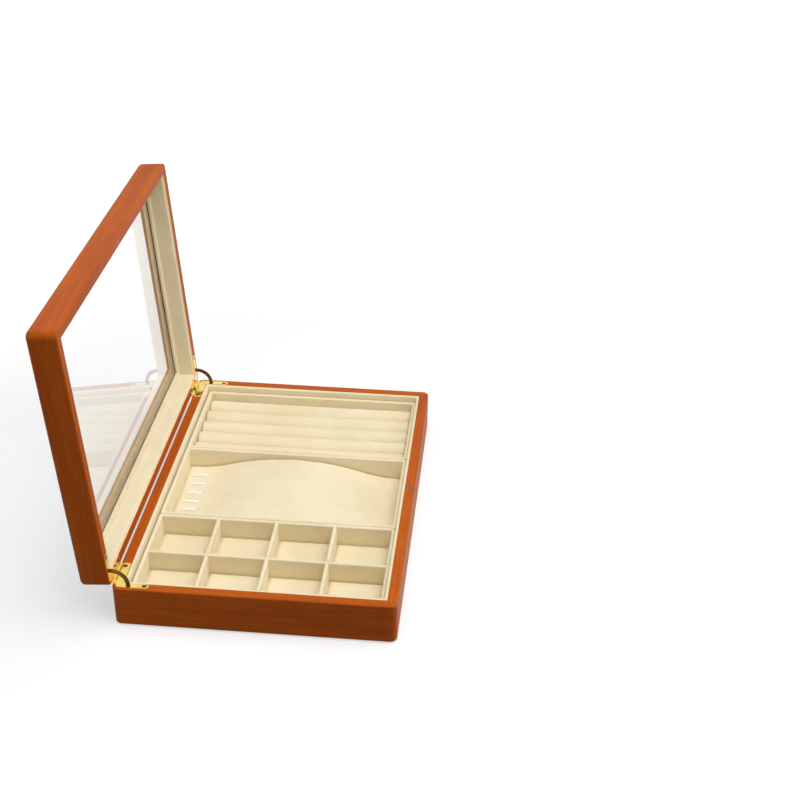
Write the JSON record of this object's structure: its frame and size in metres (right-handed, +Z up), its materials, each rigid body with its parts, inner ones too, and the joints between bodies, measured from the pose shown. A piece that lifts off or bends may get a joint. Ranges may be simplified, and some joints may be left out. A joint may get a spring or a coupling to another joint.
{
  "type": "jewelry box",
  "caption": "Low wooden jewelry box with a hinged glass lid, lift-out velvet trays, ring rolls, an arched necklace pad and a grid of small compartments.",
  "frame": {"origin": "middle of the box's footprint on the surface that it stands on", "axes": "+X along the hinge, to the right of a person at the front; +Y from the front to the hinge; +Z up"},
  "size_m": [0.317, 0.2569, 0.2514],
  "materials": {
    "stained_wood": "satin lacquer over red-brown stain",
    "bottom_board": "plain stained board",
    "cream_velvet": "short-pile velvet over board",
    "velvet_foam": "short-pile velvet over foam",
    "white_ribbon": "woven satin ribbon",
    "clear_glass": "clear float glass",
    "brass": "polished",
    "brown_felt": "pressed felt",
    "magnet": "lacquered over"
  },
  "bodies": {
    "base": {"base_back_liner": "cream_velvet", "base_back_rail": "stained_wood", "base_bottom_panel": "bottom_board", "base_floor_liner": "cream_velvet", "base_front_liner": "cream_velvet", "base_front_rail": "stained_wood", "base_hinge_screws": "brass", "base_left_liner": "cream_velvet", "base_left_rail": "stained_wood", "base_magnet": "magnet", "base_right_liner": "cream_velvet", "base_right_rail": "stained_wood", "felt_base": "brown_felt", "left_hinge_base_leaf": "brass", "left_hinge_pin": "brass", "right_hinge_base_leaf": "brass", "right_hinge_pin": "brass"},
    "lid": {"left_hinge_lid_leaf": "brass", "lid_back_lining": "cream_velvet", "lid_back_rail": "stained_wood", "lid_back_retainer": "cream_velvet", "lid_front_lining": "cream_velvet", "lid_front_rail": "stained_wood", "lid_front_retainer": "cream_velvet", "lid_glass": "clear_glass", "lid_hinge_screws": "brass", "lid_left_lining": "cream_velvet", "lid_left_rail": "stained_wood", "lid_left_retainer": "cream_velvet", "lid_magnet": "magnet", "lid_right_lining": "cream_velvet", "lid_right_rail": "stained_wood", "lid_right_retainer": "cream_velvet", "right_hinge_lid_leaf": "brass"},
    "left_stay": {"left_hinge_stay": "brass"},
    "right_stay": {"right_hinge_stay": "brass"},
    "ring_tray": {"ring_roll_1": "velvet_foam", "ring_roll_2": "velvet_foam", "ring_roll_3": "velvet_foam", "ring_roll_4": "velvet_foam", "ring_roll_5": "velvet_foam", "ring_tray_back_wall": "cream_velvet", "ring_tray_floor": "cream_velvet", "ring_tray_front_wall": "cream_velvet", "ring_tray_left_wall": "cream_velvet", "ring_tray_right_wall": "cream_velvet"},
    "necklace_tray": {"necklace_loops": "white_ribbon", "necklace_pad": "velvet_foam", "necklace_tray_back_wall": "cream_velvet", "necklace_tray_floor": "cream_velvet", "necklace_tray_front_wall": "cream_velvet", "necklace_tray_left_wall": "cream_velvet", "necklace_tray_right_wall": "cream_velvet"},
    "grid_tray": {"grid_floor_pads": "velvet_foam", "grid_long_divider": "cream_velvet", "grid_short_divider_1": "cream_velvet", "grid_short_divider_2": "cream_velvet", "grid_short_divider_3": "cream_velvet", "grid_tray_back_wall": "cream_velvet", "grid_tray_floor": "cream_velvet", "grid_tray_front_wall": "cream_velvet", "grid_tray_left_wall": "cream_velvet", "grid_tray_right_wall": "cream_velvet"}
  },
  "joints": [
    {"name": "lid_hinge", "type": "hinge", "parent": "base", "child": "lid", "pos_m": [0, 0.10865, 0.0352], "axis": [1, 0, 0], "range_deg": [0, 94.5]},
    {"name": "left_stay_turn", "type": "hinge", "parent": "base", "child": "left_stay", "pos_m": [-0.1533, 0.10865, 0.0352], "axis": [1, 0, 0], "range_deg": [0, 47.25]},
    {"name": "right_stay_turn", "type": "hinge", "parent": "base", "child": "right_stay", "pos_m": [0.1533, 0.10865, 0.0352], "axis": [1, 0, 0], "range_deg": [0, 47.25]},
    {"name": "ring_tray_lift", "type": "slide", "parent": "base", "child": "ring_tray", "axis": [0, 0, 1], "range_m": [0, 0.012]},
    {"name": "necklace_tray_lift", "type": "slide", "parent": "base", "child": "necklace_tray", "axis": [0, 0, 1], "range_m": [0, 0.012]},
    {"name": "grid_tray_lift", "type": "slide", "parent": "base", "child": "grid_tray", "axis": [0, 0, 1], "range_m": [0, 0.012]}
  ],
  "couplings": [
    {"joint": "left_stay_turn", "follows": "lid_hinge", "ratio": 0.5},
    {"joint": "right_stay_turn", "follows": "lid_hinge", "ratio": 0.5}
  ]
}
